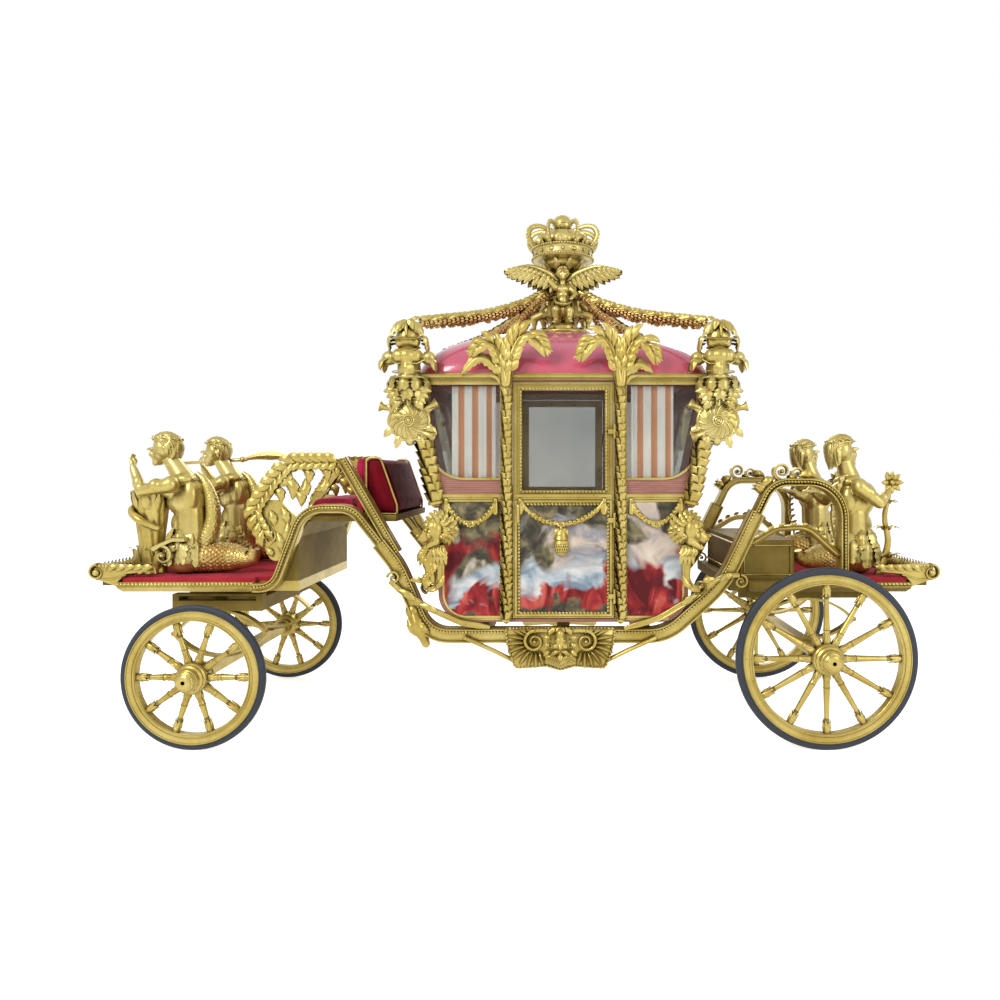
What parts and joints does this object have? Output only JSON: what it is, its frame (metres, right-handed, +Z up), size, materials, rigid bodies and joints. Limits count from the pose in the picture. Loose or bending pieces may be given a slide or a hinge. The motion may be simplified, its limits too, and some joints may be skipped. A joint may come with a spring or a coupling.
{
  "type": "horse drawn state coach",
  "caption": "Gilded horse drawn state coach with a closed glazed cabin, carved sea figures, a crowned red roof, a driver's seat and a rear deck.",
  "frame": {"origin": "on the ground, under the middle of the coach's length and width", "axes": "+Z up, -X towards the front, -Y to the coach's left side"},
  "size_m": [5.38, 1.87, 3.5],
  "materials": {
    "gold_paint": "satin",
    "roof_red": "gloss",
    "striped_wood": "satin",
    "tyre": "matte",
    "glass": "clear",
    "carpet": "matte",
    "crimson": "satin",
    "maroon": "gloss",
    "cabin_cloth": "satin"
  },
  "bodies": {
    "chassis": {"body_straps": "gold_paint", "cabin_benches": "gold_paint", "cabin_cushions": "cabin_cloth", "cabin_floor": "gold_paint", "cabin_front": "striped_wood", "cabin_glass": "glass", "cabin_mouldings": "gold_paint", "cabin_rear": "striped_wood", "cabin_roof": "roof_red", "cabin_side_left": "striped_wood", "cabin_side_right": "striped_wood", "cherubs": "gold_paint", "corner_posts": "gold_paint", "corner_trophies": "gold_paint", "cornice": "gold_paint", "crown": "gold_paint", "curtains": "cabin_cloth", "door_hinges": "gold_paint", "driver_back_box": "maroon", "driver_cushions": "crimson", "driver_seat_base": "gold_paint", "front_box": "gold_paint", "front_carpet": "carpet", "front_deck": "gold_paint", "front_deck_end": "gold_paint", "lion_consoles": "gold_paint", "palm_columns": "gold_paint", "palm_fronds": "gold_paint", "perch_bars": "gold_paint", "rear_arches": "gold_paint", "rear_axle": "gold_paint", "rear_box": "gold_paint", "rear_carpet": "carpet", "rear_deck": "gold_paint", "rear_deck_end": "gold_paint", "rear_sills": "gold_paint", "rear_springs": "gold_paint", "roof_garlands": "gold_paint", "roof_pedestal": "gold_paint", "side_beam_left": "gold_paint", "side_beam_right": "gold_paint", "step_masks": "gold_paint", "tritons_front": "gold_paint", "tritons_rear": "gold_paint"},
    "fore_carriage": {"fore_frame": "gold_paint", "front_axle": "gold_paint", "front_springs": "gold_paint", "pole_socket": "gold_paint"},
    "wheel_front_left": {"tyre_front_left": "tyre", "wheel_front_left": "gold_paint"},
    "wheel_front_right": {"tyre_front_right": "tyre", "wheel_front_right": "gold_paint"},
    "wheel_rear_left": {"tyre_rear_left": "tyre", "wheel_rear_left": "gold_paint"},
    "wheel_rear_right": {"tyre_rear_right": "tyre", "wheel_rear_right": "gold_paint"},
    "door_left": {"door_glass_left": "glass", "door_left": "gold_paint"},
    "door_right": {"door_glass_right": "glass", "door_right": "gold_paint"}
  },
  "joints": [
    {"name": "steering", "type": "hinge", "parent": "chassis", "child": "fore_carriage", "pos_m": [-1.925, 0, 0.85], "axis": [0, 0, 1], "range_deg": [-30, 30]},
    {"name": "roll_front_left", "type": "hinge", "parent": "fore_carriage", "child": "wheel_front_left", "pos_m": [-1.925, -0.8, 0.4375], "axis": [0, 1, 0], "continuous": true},
    {"name": "roll_front_right", "type": "hinge", "parent": "fore_carriage", "child": "wheel_front_right", "pos_m": [-1.925, 0.8, 0.4375], "axis": [0, 1, 0], "continuous": true},
    {"name": "roll_rear_left", "type": "hinge", "parent": "chassis", "child": "wheel_rear_left", "pos_m": [1.898, -0.8, 0.55], "axis": [0, 1, 0], "continuous": true},
    {"name": "roll_rear_right", "type": "hinge", "parent": "chassis", "child": "wheel_rear_right", "pos_m": [1.898, 0.8, 0.55], "axis": [0, 1, 0], "continuous": true},
    {"name": "open_left", "type": "hinge", "parent": "chassis", "child": "door_left", "pos_m": [0.63, -0.642, 1.5], "axis": [0, 0, 1], "range_deg": [0, 90]},
    {"name": "open_right", "type": "hinge", "parent": "chassis", "child": "door_right", "pos_m": [0.63, 0.642, 1.5], "axis": [0, 0, -1], "range_deg": [0, 90]}
  ]
}
